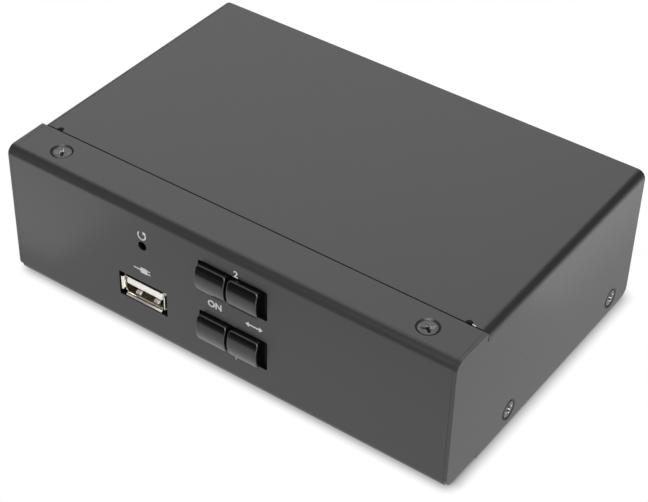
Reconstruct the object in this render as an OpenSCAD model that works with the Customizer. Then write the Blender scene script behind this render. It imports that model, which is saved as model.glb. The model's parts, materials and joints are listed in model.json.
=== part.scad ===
// Two-port keyboard, video and mouse switch in a folded sheet-steel case.
// Millimetres, +Z up. The front with the push buttons faces -Y, and the origin is the
// middle of the whole footprint on the table.

/* [Case] */
// Overall width across the side plates
case_w = 130; // [116:1:150]
// Depth from the front face to the rear face
case_d = 86; // [77:1:110]
// Height of the metal case without its feet
case_h = 38.6; // [34.6:0.2:46]
// Thickness of the steel sheet
sheet_t = 1; // [0.8:0.1:1.2]
// Outside radius of the bends in the sheet
bend_r = 2.3; // [1.8:0.1:3]
// Depth of the front lip, from the front face to the seam
lip_d = 12.6; // [12:0.1:16]
// Width of the seam between the lip and the cover
seam_gap = 0.4; // [0.2:0.1:0.6]
// Clearance between the chassis and each side plate
side_gap = 0.05; // [0.05:0.05:0.3]
// Radius of the relief notches at the ends of the seam
notch_r = 0.85; // [0.5:0.05:1]
// Distance of the notches' middles behind the edge of the seam
notch_back = 0.3; // [0:0.05:0.5]
// Distance of the relief notches from the side faces
notch_inset = 5.4; // [4.4:0.1:7]
// Length of the raised stretch at the front of the side plates' lower edge
step_l = 12.7; // [8:0.1:16]
// Height of that raised stretch above the rest of the lower edge
step_h = 0.6; // [0.3:0.1:1.2]
// Depth of the flange at the top of the rear panel
rear_flange_d = 6; // [4:0.5:10]
// Depth of the cover's tongue under the lip, in front of the seam
tongue_d = 9.4; // [9:0.1:10]

/* [Fasteners] */
// Radius of the screw heads
head_r = 2.6; // [2.4:0.05:2.8]
// Radius of the screw shanks
shank_r = 1.4; // [1.2:0.05:1.45]
// Radius of the tapped holes
thread_r = 1.5; // [1.46:0.02:1.6]
// Radius of the clearance holes
clear_r = 1.7; // [1.6:0.05:1.8]
// Depth of the countersunk heads below the sheet's face
head_recess = 0.25; // [0.2:0.05:0.7]
// Gap between the cone of a countersunk head and its seat
seat_gap = 0.05; // [0.03:0.01:0.1]
// Length of the countersunk screws, from the sheet's face to the tip
screw_l = 5; // [4:0.1:6]
// Depth of the pressed dimples, from the sheet's face to their seat
dimple_d = 2; // [1.8:0.1:2.4]
// Thickness of the metal round a dimple's clearance hole
dimple_wall = 1.4; // [1.2:0.1:1.8]
// Distance of the lip screws from the side faces
lip_screw_inset = 11.8; // [10:0.1:16]
// Distance of the lip screws from the front face
lip_screw_back = 6.65; // [6.2:0.05:7.4]
// Distance of the front pair of side screws from the front face
side_screw_back = 26.8; // [22:0.1:32]
// Distance of the rear pair of side screws from the rear face
side_screw_rear = 9.4; // [8.5:0.1:14]
// Height of the side screws above the underside of the case
side_screw_up = 4.5; // [4.4:0.1:6]
// Width of the arms of the cross recess in the screw heads
recess_w = 0.85; // [0.6:0.05:1]
// Length of the arms of the cross recess in the screw heads
recess_l = 3.2; // [2.6:0.1:3.6]
// Depth of the cross recess in the screw heads
recess_d = 0.8; // [0.6:0.1:1]

/* [Feet] */
// Radius of the rubber feet
foot_r = 4.5; // [3:0.1:6]
// Thickness of the rubber feet
foot_h = 0.8; // [0.5:0.1:3]
// Distance of the feet's middles from the side faces
foot_inset_x = 21; // [17:0.5:30]
// Distance of the feet's middles from the front and rear faces
foot_inset_y = 11; // [8:0.5:25]

/* [Buttons] */
// Distance of the upper row of buttons below the top of the case
row_down = 10.3; // [9.8:0.05:11]
// Distance between the two rows of buttons
row_pitch = 15.4; // [14.6:0.05:16]
// Distance of the buttons' middle to the right of the case's middle
buttons_x = 3.7; // [2:0.1:12]
// Width of one button cap
cap_w = 8.65; // [8:0.05:10]
// Height of one button cap
cap_h = 7.75; // [7:0.05:8]
// Gap between the two caps of a row
cap_gap = 0.75; // [0.5:0.05:1]
// How far the edges of a cap stand out of the panel
cap_out = 1.5; // [1:0.05:3]
// How far the rounded face of a cap bulges beyond its edges
cap_bulge = 0.75; // [0.3:0.05:1.2]
// Gap between the caps and the window above and below them
window_gap_z = 0.5; // [0.3:0.05:0.7]
// Gap between the caps and the left end of the window
window_gap_left = 0.35; // [0.3:0.05:1]
// Gap between the caps and the right end of the window
window_gap_right = 1.75; // [0.3:0.05:2]
// Radius of the window's corners
window_r = 0.6; // [0.3:0.05:0.7]
// Travel of a button
button_travel = 0.4; // [0.2:0.05:0.5]
// Thickness of the flange that holds a cap behind the panel
flange_t = 1; // [0.8:0.1:1.4]
// How far that flange reaches past the window
flange_over = 0.8; // [0.5:0.1:1]
// Gap between the flange and the panel at rest
flange_gap = 0.3; // [0.2:0.05:0.5]
// Radius of the stem behind a cap
stem_r = 2.6; // [2.3:0.1:2.9]
// Length of the stem behind a cap's flange
stem_l = 2.5; // [2:0.1:4]

/* [Switches] */
// Width and height of a switch body
switch_w = 6; // [5.8:0.1:6.2]
// Depth of a switch body
switch_t = 3.5; // [3.3:0.1:4.3]
// Radius of a switch plunger
plunger_r = 1.65; // [1.5:0.05:1.8]
// Running gap between a plunger and the bore of its switch body
plunger_gap = 0.3; // [0.2:0.05:0.35]
// Length of the plunger's tip inside the stem of a cap
plunger_grip = 1.5; // [1:0.1:2]
// Gap between the plunger's tip and the socket in the stem
grip_gap = 0.05; // [0.03:0.01:0.1]
// Thickness of the switch body's front wall
switch_wall = 0.9; // [0.7:0.05:1]
// Radius of the chamber behind that wall
chamber_r = 2.4; // [2.3:0.05:2.6]
// Depth of the chamber
chamber_d = 1.9; // [1.8:0.05:2.1]
// Thickness of the collar that holds the plunger in its switch
collar_t = 0.6; // [0.4:0.05:0.7]
// Side and end gap of the collar in its chamber
collar_gap = 0.2; // [0.1:0.05:0.25]
// Thickness of the snap dome
dome_t = 0.15; // [0.1:0.05:0.2]
// Gap between the collar and the top of the snap dome
dome_gap = 0.05; // [0.03:0.01:0.08]
// Gap left free between stem and switch body at full travel
stop_gap = 0.4; // [0.3:0.05:0.8]
// Radius of the reset pin hole
reset_r = 1.25; // [0.8:0.05:1.4]
// Distance of the reset hole to the left of the case's middle
reset_x = 22.7; // [20:0.1:26]
// Distance of the reset hole below the top of the case
reset_down = 10.5; // [9.8:0.05:11]

/* [Boards] */
// Thickness of the circuit boards
board_t = 1.6; // [1.2:0.1:2]
// Distance of the main board's edges from the side faces
board_margin = 5; // [4.5:0.1:6]
// Distance of the main board's front edge behind the front face
board_front = 3.6; // [3.5:0.1:5]
// Gap between the main board's rear edge and the rear panel
board_rear_gap = 0.6; // [0.3:0.1:1]
// Gap between the two boards where the main board is notched
board_gap = 0.3; // [0.2:0.05:0.6]
// Reach of the button board beyond the outer switches
button_board_reach = 4; // [3.5:0.1:6]
// Reach of the button board above and below the outer switches
button_board_rim = 1.5; // [1:0.1:1.9]
// Radius of the standoffs' corners
standoff_r = 3; // [2.8:0.1:3.5]
// Radius of the standoffs' rivet shank in the bottom plate
rivet_r = 2.1; // [1.9:0.05:2.4]
// Gap round that rivet shank
rivet_gap = 0.05; // [0.03:0.01:0.1]
// Distance of the standoffs from the side faces
standoff_inset_x = 10; // [9.6:0.1:14]
// Distance of the front standoffs from the front face
standoff_front = 12; // [9:0.5:14]
// Distance of the rear standoffs from the rear face
standoff_rear = 24; // [22:0.5:30]
// Height of the board screws' pan heads
pan_h = 1.9; // [1.5:0.1:2.2]
// Length of the board screws' shanks
board_screw_l = 5; // [4:0.1:7]
// Number of pins between the two boards
pin_count = 6; // [4:1:7]
// Distance between neighbouring pins
pin_pitch = 2.54; // [2:0.01:2.54]
// Thickness of a square pin
pin_t = 0.64; // [0.5:0.02:0.64]
// Gap round a pin in its holes
pin_gap = 0.1; // [0.06:0.01:0.15]
// Length of a pin below the main board
pin_tail = 1; // [0.5:0.1:2]
// Height and depth of the pins' plastic strip
strip_h = 2.5; // [2.4:0.1:3]

/* [Front USB socket] */
// Distance of the socket to the left of the case's middle
usb_x = 23.2; // [22:0.1:26]
// Height of the socket's middle above the underside of the case
usb_up = 13; // [12.9:0.05:14]
// Inside width of a USB-A shell
usb_in_w = 12.5; // [12.5:0.01:12.6]
// Inside height of a USB-A shell
usb_in_h = 5.12; // [5.12:0.01:5.2]
// Thickness of the connector shells
shell_t = 0.3; // [0.25:0.01:0.4]
// Depth of the front shell
usb_d = 14; // [13:0.1:16]
// Length of the flared lips of the front shell
flare_l = 1; // [0.8:0.05:1.4]
// How far the flared lips spread outwards
flare_out = 0.55; // [0.4:0.05:0.6]
// Length of the cut corners between the flared lips
flare_corner = 0.9; // [0.7:0.05:1.2]
// Clearance between the flared lips and the panel cut-out at the sides
usb_clear_x = 0.4; // [0.2:0.05:0.6]
// Clearance between the flared lips and the panel cut-out above and below
usb_clear_z = 0.25; // [0.2:0.05:0.6]
// Height of the front shell above the main board
usb_rise = 0.5; // [0.3:0.05:0.6]
// Distance of the front shell's legs behind the main board's front edge
leg_back = 1; // [0.5:0.1:2]
// Depth of the front shell's legs
leg_d = 3; // [2:0.1:4]
// Thickness of a USB-A tongue
tongue_t = 1.84; // [1.6:0.02:1.9]
// Width of a USB-A tongue
usb_tongue_w = 11.1; // [10.6:0.1:11.3]
// Gap between the top of a tongue and its shell
tongue_top = 0.5; // [0.35:0.05:0.6]
// Distance of a tongue's front behind the shell's mouth
tongue_back = 1; // [0.5:0.1:1.5]
// Distance of the front socket's tongue behind the front face
front_tongue_back = 0.5; // [0.3:0.1:1.5]
// Depth of the solid plastic block at the back of a socket
block_d = 4; // [3:0.1:4.4]
// Fit gap between an insulator and its shell
insert_gap = 0.05; // [0.03:0.01:0.1]
// Width of a USB contact
contact_w = 1; // [0.8:0.05:1.2]
// Thickness of a USB contact
contact_t = 0.2; // [0.15:0.05:0.3]
// Distance between neighbouring USB contacts
contact_pitch = 2.3; // [2:0.05:2.5]

/* [Rear sockets] */
// How far the rear sockets stand out of the rear panel
port_out = 0.3; // [0.2:0.1:1]
// Clearance of the rear cut-outs round their sockets
port_clear = 0.3; // [0.2:0.05:0.5]
// Distance of the outer rear sockets from the side faces
socket_edge = 5.5; // [5:0.1:8]
// Outside width of a video socket
video_w = 14.6; // [14.5:0.1:15]
// Outside height of a video socket
video_h = 5.2; // [5:0.1:5.6]
// Depth of a video socket
video_d = 11; // [10:0.1:12.5]
// Size of the cut lower corners of a video socket
video_cut = 1.6; // [1.2:0.1:1.8]
// Width of a video socket's tongue
video_tongue_w = 10.8; // [10:0.1:11.2]
// Thickness of a video socket's tongue
video_tongue_t = 1.1; // [1:0.05:1.3]
// Outside width of a square USB-B socket
usb_b_w = 12; // [11.8:0.1:12.4]
// Outside height of a USB-B socket
usb_b_h = 10.9; // [10.8:0.1:11.4]
// Depth of a USB-B socket
usb_b_d = 16; // [15:0.1:17]
// Width of the opening of a USB-B socket
usb_b_open_w = 8.5; // [8.45:0.05:8.6]
// Height of the opening of a USB-B socket
usb_b_open_h = 7.8; // [7.75:0.05:7.9]
// Cut upper corners of the opening of a USB-B socket
usb_b_cut = 1.7; // [1.4:0.1:1.9]
// Width of the block in the middle of a USB-B socket
usb_b_core_w = 5.6; // [5.2:0.1:5.8]
// Height of that block
usb_b_core_h = 3.2; // [3:0.1:3.4]
// Distance between the two openings of the USB pair
usb_pair_pitch = 7.6; // [7.2:0.1:8]
// Outside width of the USB pair
usb_pair_w = 14.6; // [14.4:0.1:15]
// Outside height of the USB pair
usb_pair_h = 15.4; // [15:0.1:16]
// Depth of the USB pair
usb_pair_d = 16; // [15:0.1:17]
// Width of the power inlet
power_w = 9; // [8.8:0.1:9.4]
// Height of the power inlet
power_h = 11; // [10.5:0.1:12]
// Depth of the power inlet
power_d = 14; // [13:0.1:15]
// Radius of the power inlet's bore
power_bore_r = 3; // [2.9:0.05:3.2]
// Depth of the power inlet's bore
power_bore_d = 9.5; // [9:0.1:10]
// Height of the power inlet's bore above the main board
power_bore_up = 6.5; // [6:0.1:7]
// Radius of the power inlet's pin
power_pin_r = 1.05; // [0.9:0.05:1.25]
// Distance of the pin's tip behind the power inlet's mouth
power_pin_back = 0.8; // [0.5:0.1:1.5]
// Length of the pin's root in the block behind the bore
power_pin_root = 2; // [1:0.1:3]
// Radius of the pin's root
power_root_r = 1.4; // [1.3:0.05:1.8]

/* [Components] */
// Width of the video switching chip
video_chip_w = 14; // [10:0.5:16]
// Height of the video switching chip
video_chip_h = 1.4; // [1:0.1:2]
// Width of the hub chip and of the controller chip
small_chip_w = 7; // [5:0.5:9]
// Height of the hub chip and of the controller chip
small_chip_h = 0.9; // [0.8:0.1:1.6]
// Radius of the electrolytic capacitors
capacitor_r = 3.15; // [2.5:0.05:4]
// Height of the electrolytic capacitors
capacitor_h = 7; // [5:0.5:8]
// Width of the power inductor
inductor_w = 7; // [5:0.5:8]
// Height of the power inductor
inductor_h = 4; // [3:0.5:5]
// Length of a crystal
crystal_l = 11; // [8:0.5:12]
// Width of a crystal
crystal_w = 4.6; // [3:0.1:5]
// Height of a crystal
crystal_h = 3.4; // [2.5:0.1:4]
// Gap between a chip and its crystal
chip_gap = 1.5; // [0.5:0.1:3]
// Length of an indicator lamp
lamp_l = 1.6; // [1:0.1:2]
// Height of an indicator lamp
lamp_h = 3; // [2:0.1:3.5]
// Depth of an indicator lamp
lamp_t = 1.1; // [0.6:0.1:1.5]

/* [Hidden] */
$fn = 64;
overlap = 1;
hair = 0.01;

half_w = case_w / 2;
cap_reach = cap_out + cap_bulge;
front_y = -(case_d + cap_reach + port_out) / 2 + cap_reach;
rear_y = front_y + case_d;
mouth_y = rear_y + port_out;
base_z = foot_h;
top_z = base_z + case_h;
inner_w = half_w - sheet_t;
seam_y = front_y + lip_d;
chassis_hw = inner_w - side_gap;

// Countersunk seats: the cone is at 45 degrees
sink_r = head_r + head_recess + seat_gap;
dimple_r = clear_r + dimple_wall;
side_screw_y = [side_screw_back, case_d - side_screw_rear];
lip_screw_x = half_w - lip_screw_inset;
flange_x = half_w - dimple_d;

// Main board levels
board_up = usb_up - usb_in_h / 2 - shell_t - usb_rise - board_t;
board_z = base_z + board_up;
deck_z = board_z + board_t;
standoff_h = board_up - sheet_t;
board_hw = half_w - board_margin;
board_y0 = front_y + board_front;
board_y1 = rear_y - sheet_t - board_rear_gap;
standoff_x = half_w - standoff_inset_x;
standoff_y = [front_y + standoff_front, rear_y - standoff_rear];

// Chain of depths behind the buttons
window_w = 2 * cap_w + cap_gap + window_gap_left + window_gap_right;
window_x = buttons_x + (window_gap_right - window_gap_left) / 2;
window_h = cap_h + 2 * window_gap_z;
panel_in = front_y + sheet_t;
flange_y = panel_in + flange_gap;
stem_y = flange_y + flange_t;
stem_end = stem_y + stem_l;
switch_y = stem_end + button_travel + stop_gap;
button_board_y = switch_y + switch_t;
tip_y = stem_end - plunger_grip;
chamber_y = switch_y + switch_wall;
collar_y = chamber_y + collar_gap;
chamber_end = chamber_y + chamber_d;
dome_top = collar_y + collar_t + dome_gap;
dome_h = chamber_end - dome_top;
dome_r = chamber_r - collar_gap;
dome_ball = (dome_r * dome_r + dome_h * dome_h) / (2 * dome_h);
face_r = (cap_h * cap_h / 4 + cap_bulge * cap_bulge) / (2 * cap_bulge);

column_x = [buttons_x - (cap_w + cap_gap) / 2, buttons_x + (cap_w + cap_gap) / 2];
row_z = [top_z - row_down, top_z - row_down - row_pitch];
reset_z = top_z - reset_down;
button_board_x0 = column_x[0] - switch_w / 2 - button_board_reach;
button_board_x1 = column_x[1] + switch_w / 2 + button_board_reach;
button_board_z1 = row_z[0] + switch_w / 2 + button_board_rim;
reset_arm_x = -reset_x - switch_w / 2 - button_board_rim;
reset_arm_z = reset_z - switch_w / 2 - button_board_rim;
strip_y = button_board_y + board_t;
pin_z = deck_z + strip_h / 2;
button_board_z0 = min(row_z[1] - switch_w / 2, deck_z) - button_board_rim;
pin_y = strip_y + strip_h / 2;
pin_x = [for (i = [0:pin_count - 1]) buttons_x + (i - (pin_count - 1) / 2) * pin_pitch];

// Front socket
usb_w = usb_in_w + 2 * shell_t;
usb_h = usb_in_h + 2 * shell_t;
usb_z = base_z + usb_up;
usb_cut_w = usb_w + 2 * flare_out + 2 * usb_clear_x;
usb_cut_h = usb_h + 2 * flare_out + 2 * usb_clear_z;
usb_tongue_up = usb_in_h / 2 - tongue_top - tongue_t / 2;

// Rear sockets in a row with equal gaps, from the left side face to the right one
socket_w = [usb_b_w, video_w, usb_b_w, video_w, usb_pair_w, video_w, power_w];
socket_h = [usb_b_h, video_h, usb_b_h, video_h, usb_pair_h, video_h, power_h];
socket_count = len(socket_w);
function width_before(i) = i == 0 ? 0 : socket_w[i - 1] + width_before(i - 1);
socket_gap = (case_w - 2 * socket_edge - width_before(socket_count)) / (socket_count - 1);
socket_x = [for (i = [0:socket_count - 1])
    -half_w + socket_edge + width_before(i) + socket_w[i] / 2 + i * socket_gap];
usb_in1_x = socket_x[0];
video_in1_x = socket_x[1];
usb_in2_x = socket_x[2];
video_in2_x = socket_x[3];
usb_pair_x = socket_x[4];
video_out_x = socket_x[5];
power_x = socket_x[6];

// Colours as the photograph shows them
steel_grey = "#585858";
black_plastic = "#161616";
nickel = "#d8d4cc";
white_plastic = "#f0efe8";
rubber_black = "#202020";
board_green = "#1f5a34";
gold = "#d4b25a";
brass_yellow = "#c2a14d";
dark_screw = "#4a4a4c";

// A box with its middle at x and z, running from y0 to y1
module box_y(x, z, w, h, y0, y1) {
    translate([x - w / 2, y0, z - h / 2]) cube([w, y1 - y0, h]);
}

// A box standing on level z, with its middle at x and y
module block(x, y, z, w, d, h) {
    translate([x - w / 2, y - d / 2, z]) cube([w, d, h]);
}

// A round bar along +Y
module bar_y(x, z, r, y0, y1) {
    translate([x, y0, z]) rotate([-90, 0, 0]) cylinder(r = r, h = y1 - y0);
}

// An outline in the Y-Z plane, drawn out along +X from x0 to x1
module extrude_x(x0, x1) {
    translate([x0, 0, 0]) rotate([90, 0, 90]) linear_extrude(x1 - x0) children();
}

// An outline in the X-Z plane, drawn out along +Y from y0 to y1
module extrude_y(y0, y1) {
    translate([0, y1, 0]) rotate([90, 0, 0]) linear_extrude(y1 - y0) children();
}

// A rectangle between two corners
module area(x0, y0, x1, y1) {
    translate([x0, y0]) square([x1 - x0, y1 - y0]);
}

// A quarter of a bend round the point x, y, on the sides that sx and sy point to
module bend(x, y, sx, sy) {
    intersection() {
        translate([x, y]) difference() {
            circle(bend_r);
            circle(bend_r - sheet_t);
        }
        area(min(x, x + sx * bend_r), min(y, y + sy * bend_r),
             max(x, x + sx * bend_r), max(y, y + sy * bend_r));
    }
}

// The raised seat that a countersunk head sits in, on the back of a sheet, along -Z
module dimple_boss() {
    translate([0, 0, -dimple_d]) cylinder(r = dimple_r, h = dimple_d - sheet_t / 2);
}

// The cone and clearance hole cut into a dimple, along -Z
module dimple_cut() {
    translate([0, 0, -sink_r]) cylinder(r1 = 0, r2 = sink_r + overlap, h = sink_r + overlap);
    translate([0, 0, -dimple_d - overlap]) cylinder(r = clear_r, h = dimple_d + 2 * overlap);
}

// The cross recess of a screw head whose top lies at level z
module cross_recess(z) {
    for (a = [0, 90]) rotate([0, 0, a])
        translate([-recess_l / 2, -recess_w / 2, z - recess_d])
            cube([recess_l, recess_w, recess_d + overlap]);
}

// A countersunk screw along -Z, with the sheet's face at level 0
module sunk_screw() {
    difference() {
        union() {
            translate([0, 0, -head_recess - head_r + shank_r])
                cylinder(r1 = shank_r, r2 = head_r, h = head_r - shank_r);
            translate([0, 0, -screw_l]) cylinder(r = shank_r, h = screw_l - head_recess - hair);
        }
        cross_recess(-head_recess);
    }
}

// Puts what follows at each lip screw
module at_lip_screws() {
    for (s = [-1, 1]) translate([s * lip_screw_x, front_y + lip_screw_back, top_z]) children();
}

// Puts what follows at each side screw, turned so that its -Z points inwards
module at_side_screws() {
    for (s = [-1, 1]) for (y = side_screw_y)
        translate([s * half_w, front_y + y, base_z + side_screw_up])
            rotate([0, s * 90, 0]) children();
}

// Section of the chassis: bottom, front with its lip, and rear with its flange
module chassis_section() {
    front_c = front_y + bend_r;
    rear_c = rear_y - bend_r;
    low_c = base_z + bend_r;
    rear_top = top_z - sheet_t;
    area(front_c, base_z, rear_c, base_z + sheet_t);
    bend(front_c, low_c, -1, -1);
    area(front_y, low_c, front_y + sheet_t, top_z - bend_r);
    bend(front_c, top_z - bend_r, -1, 1);
    area(front_c, top_z - sheet_t, seam_y, top_z);
    bend(rear_c, low_c, 1, -1);
    area(rear_y - sheet_t, low_c, rear_y, rear_top - bend_r);
    bend(rear_c, rear_top - bend_r, 1, 1);
    area(rear_c - rear_flange_d, rear_top - sheet_t, rear_c, rear_top);
}

// Upright flange of the chassis that the side screws hold on to
module side_flange() {
    flange_h = 2 * side_screw_up;
    reach = dimple_r + 2 * sheet_t;
    difference() {
        translate([flange_x - sheet_t, front_y + side_screw_back - reach, base_z])
            cube([sheet_t, side_screw_y[1] - side_screw_y[0] + 2 * reach, flange_h]);
        for (y = side_screw_y) translate([flange_x, front_y + y, base_z + side_screw_up])
            rotate([0, 90, 0]) cylinder(r = thread_r, h = 4 * sheet_t, center = true);
    }
}

// Room for the bends of the cover at the top corners of the rear panel
module corner_cuts() {
    x = half_w - bend_r;
    z = top_z - bend_r;
    extrude_y(rear_y - bend_r - rear_flange_d - overlap, rear_y + overlap) for (s = [-1, 1])
        difference() {
            area(min(s * x, s * half_w), z, max(s * x, s * half_w), top_z);
            translate([s * x, z]) circle(bend_r - sheet_t - side_gap);
        }
}

module chassis() color(steel_grey) {
    difference() {
        union() {
            extrude_x(-chassis_hw, chassis_hw) chassis_section();
            at_lip_screws() dimple_boss();
            side_flange();
            mirror([1, 0, 0]) side_flange();
        }
        at_lip_screws() dimple_cut();
        for (z = row_z)
            extrude_y(front_y - overlap, panel_in + overlap) translate([window_x, z])
                offset(window_r) square([window_w - 2 * window_r, window_h - 2 * window_r], center = true);
        bar_y(-reset_x, reset_z, reset_r, front_y - overlap, panel_in + overlap);
        box_y(-usb_x, usb_z, usb_cut_w, usb_cut_h, front_y - overlap, panel_in + overlap);
        for (i = [0:socket_count - 1])
            box_y(socket_x[i], deck_z + socket_h[i] / 2, socket_w[i] + 2 * port_clear,
                  socket_h[i] + 2 * port_clear, rear_y - sheet_t - overlap, rear_y + overlap);
        corner_cuts();
        for (s = [-1, 1]) for (y = standoff_y)
            translate([s * standoff_x, y, base_z - overlap])
                cylinder(r = rivet_r + rivet_gap, h = sheet_t + 2 * overlap);
    }
}

// Arch of the cover behind the seam: top sheet and the bends to the side plates
module cover_section() {
    area(-half_w + bend_r, top_z - sheet_t, half_w - bend_r, top_z);
    for (s = [-1, 1]) bend(s * (half_w - bend_r), top_z - bend_r, s, 1);
}

// Outline of a side plate: round corners follow the chassis, and its front stretch is level with the lip
module side_outline() {
    low_f = base_z + step_h;
    area(front_y, low_f + bend_r, seam_y, top_z - bend_r);
    area(front_y + bend_r, low_f, seam_y, top_z);
    for (z = [low_f + bend_r, top_z - bend_r]) translate([front_y + bend_r, z]) circle(bend_r);
    area(front_y + step_l, base_z, rear_y - bend_r, top_z - bend_r);
    area(front_y + bend_r, base_z + bend_r, rear_y, top_z - bend_r);
    translate([rear_y - bend_r, base_z + bend_r]) circle(bend_r);
}

// Tongue of the cover that is stepped down under the lip and carries the lip screws
module cover_tongue() {
    hw = half_w - notch_inset - notch_r;
    tongue_z = top_z - dimple_d - sheet_t;
    front = seam_y - tongue_d;
    web_y = seam_y + seam_gap;
    translate([-hw, front, tongue_z]) cube([2 * hw, web_y + sheet_t - front, sheet_t]);
    translate([-hw, web_y, tongue_z]) cube([2 * hw, sheet_t, top_z - tongue_z]);
}

module cover() color(steel_grey) difference() {
    union() {
        extrude_y(seam_y + seam_gap, rear_y) cover_section();
        extrude_x(inner_w, half_w) side_outline();
        extrude_x(-half_w, -inner_w) side_outline();
        cover_tongue();
        at_side_screws() dimple_boss();
    }
    at_side_screws() dimple_cut();
    at_lip_screws() translate([0, 0, -dimple_d - 2 * sheet_t]) cylinder(r = thread_r, h = 2 * sheet_t);
    for (s = [-1, 1])
        translate([s * (half_w - notch_inset), seam_y + seam_gap + notch_back, top_z - sheet_t - overlap])
            cylinder(r = notch_r, h = sheet_t + 2 * overlap);
}

module lip_screws() color(dark_screw) at_lip_screws() sunk_screw();

module side_screws() color(dark_screw) at_side_screws() sunk_screw();

module feet() color(rubber_black)
    for (s = [-1, 1]) for (y = [front_y + foot_inset_y, rear_y - foot_inset_y])
        translate([s * (half_w - foot_inset_x), y, 0]) cylinder(r = foot_r, h = foot_h);

module main_board() color(board_green) difference() {
    translate([-board_hw, board_y0, board_z]) cube([2 * board_hw, board_y1 - board_y0, board_t]);
    translate([button_board_x0 - board_gap, board_y0 - overlap, board_z - overlap])
        cube([button_board_x1 - button_board_x0 + 2 * board_gap,
              strip_y + board_gap - board_y0 + overlap, board_t + 2 * overlap]);
    for (s = [-1, 1]) for (y = standoff_y) translate([s * standoff_x, y, board_z - overlap])
        cylinder(r = clear_r, h = board_t + 2 * overlap);
    for (x = pin_x)
        block(x, pin_y, board_z - overlap, pin_t + 2 * pin_gap, pin_t + 2 * pin_gap,
              board_t + 2 * overlap);
}

// A hexagonal spacer riveted into the bottom plate
module standoff() {
    floor_z = base_z + sheet_t;
    difference() {
        union() {
            translate([0, 0, floor_z]) cylinder(r = standoff_r, h = standoff_h, $fn = 6);
            translate([0, 0, base_z]) cylinder(r = rivet_r, h = sheet_t + hair);
        }
        translate([0, 0, floor_z]) cylinder(r = thread_r, h = standoff_h + overlap);
    }
}

module standoffs() color(brass_yellow)
    for (s = [-1, 1]) for (y = standoff_y) translate([s * standoff_x, y, 0]) standoff();

module board_screws() color(nickel)
    for (s = [-1, 1]) for (y = standoff_y) translate([s * standoff_x, y, deck_z]) difference() {
        union() {
            cylinder(r = head_r, h = pan_h);
            translate([0, 0, -board_screw_l]) cylinder(r = shank_r, h = board_screw_l + hair);
        }
        cross_recess(pan_h);
    }

// Upright board that carries the switches and lamps, with an arm for the reset switch
module button_board() color(board_green) difference() {
    union() {
        translate([button_board_x0, button_board_y, button_board_z0])
            cube([button_board_x1 - button_board_x0, board_t, button_board_z1 - button_board_z0]);
        translate([reset_arm_x, button_board_y, reset_arm_z])
            cube([button_board_x0 - reset_arm_x + overlap, board_t, button_board_z1 - reset_arm_z]);
    }
    for (x = pin_x)
        box_y(x, pin_z, pin_t + 2 * pin_gap, pin_t + 2 * pin_gap,
              button_board_y - overlap, strip_y + overlap);
}

module pin_strip() color(black_plastic) difference() {
    translate([pin_x[0] - pin_pitch / 2, strip_y, deck_z])
        cube([pin_count * pin_pitch, strip_h, strip_h]);
    for (x = pin_x) {
        box_y(x, pin_z, pin_t, pin_t, strip_y - overlap, pin_y + pin_t / 2);
        block(x, pin_y, deck_z - overlap, pin_t, pin_t, strip_h / 2 + overlap + pin_t / 2);
    }
}

module board_pins() color(gold) for (x = pin_x) {
    box_y(x, pin_z, pin_t, pin_t, button_board_y, pin_y + pin_t / 2);
    block(x, pin_y, board_z - pin_tail, pin_t, pin_t, pin_z - board_z + pin_tail + pin_t / 2);
}

// A push-button cap: rounded face, flange behind the panel and stem to the switch
module button_cap(column, row) {
    x = column_x[column];
    z = row_z[row];
    out = column == 0 ? -1 : 1;
    edge_y = front_y - cap_out;
    flange_w = cap_w + (column == 0 ? window_gap_left : window_gap_right) + flange_over;
    flange_h = window_h + 2 * flange_over;
    color(black_plastic) difference() {
        union() {
            extrude_x(x - cap_w / 2, x + cap_w / 2) {
                area(edge_y, z - cap_h / 2, stem_y, z + cap_h / 2);
                intersection() {
                    translate([edge_y - cap_bulge + face_r, z]) circle(face_r);
                    area(edge_y - cap_bulge, z - cap_h / 2, stem_y, z + cap_h / 2);
                }
            }
            box_y(x + out * (flange_w - cap_w) / 2, z, flange_w, flange_h, flange_y, stem_y);
            bar_y(x, z, stem_r, stem_y - hair, stem_end);
        }
        bar_y(x, z, plunger_r + grip_gap, tip_y, stem_end + overlap);
    }
}

// A switch plunger with the collar that holds it in its switch
module plunger(x, z) color(white_plastic) {
    bar_y(x, z, plunger_r, tip_y, collar_y + hair);
    bar_y(x, z, chamber_r - collar_gap, collar_y, collar_y + collar_t);
}

// A switch body with the bore of its plunger and the chamber of its dome
module switch_body(x, z) color(black_plastic) difference() {
    box_y(x, z, switch_w, switch_w, switch_y, button_board_y);
    bar_y(x, z, plunger_r + plunger_gap, switch_y - overlap, chamber_y + hair);
    bar_y(x, z, chamber_r, chamber_y, chamber_end);
}

// The snap dome under a plunger
module snap_dome(x, z) color(nickel) intersection() {
    translate([x, dome_top + dome_ball, z]) difference() {
        sphere(r = dome_ball);
        sphere(r = dome_ball - dome_t);
    }
    bar_y(x, z, dome_r, dome_top - overlap, chamber_end);
}

module indicator_lamps() color(white_plastic) for (i = [0, 1]) for (z = row_z) {
    out = i == 0 ? -1 : 1;
    box_y(column_x[i] + out * (switch_w / 2 + lamp_l), z, lamp_l, lamp_h,
          button_board_y - lamp_t, button_board_y);
}

// One flared lip, along X, that spreads from the shell towards the socket's mouth
module flared_lip(length, half_gap, mouth) {
    root = mouth + flare_l;
    extrude_x(-length / 2, length / 2) polygon([
        [root + flare_l, half_gap], [root + flare_l, half_gap - shell_t],
        [root, half_gap - shell_t], [mouth, half_gap - shell_t + flare_out],
        [mouth, half_gap + flare_out], [root, half_gap]
    ]);
}

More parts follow.
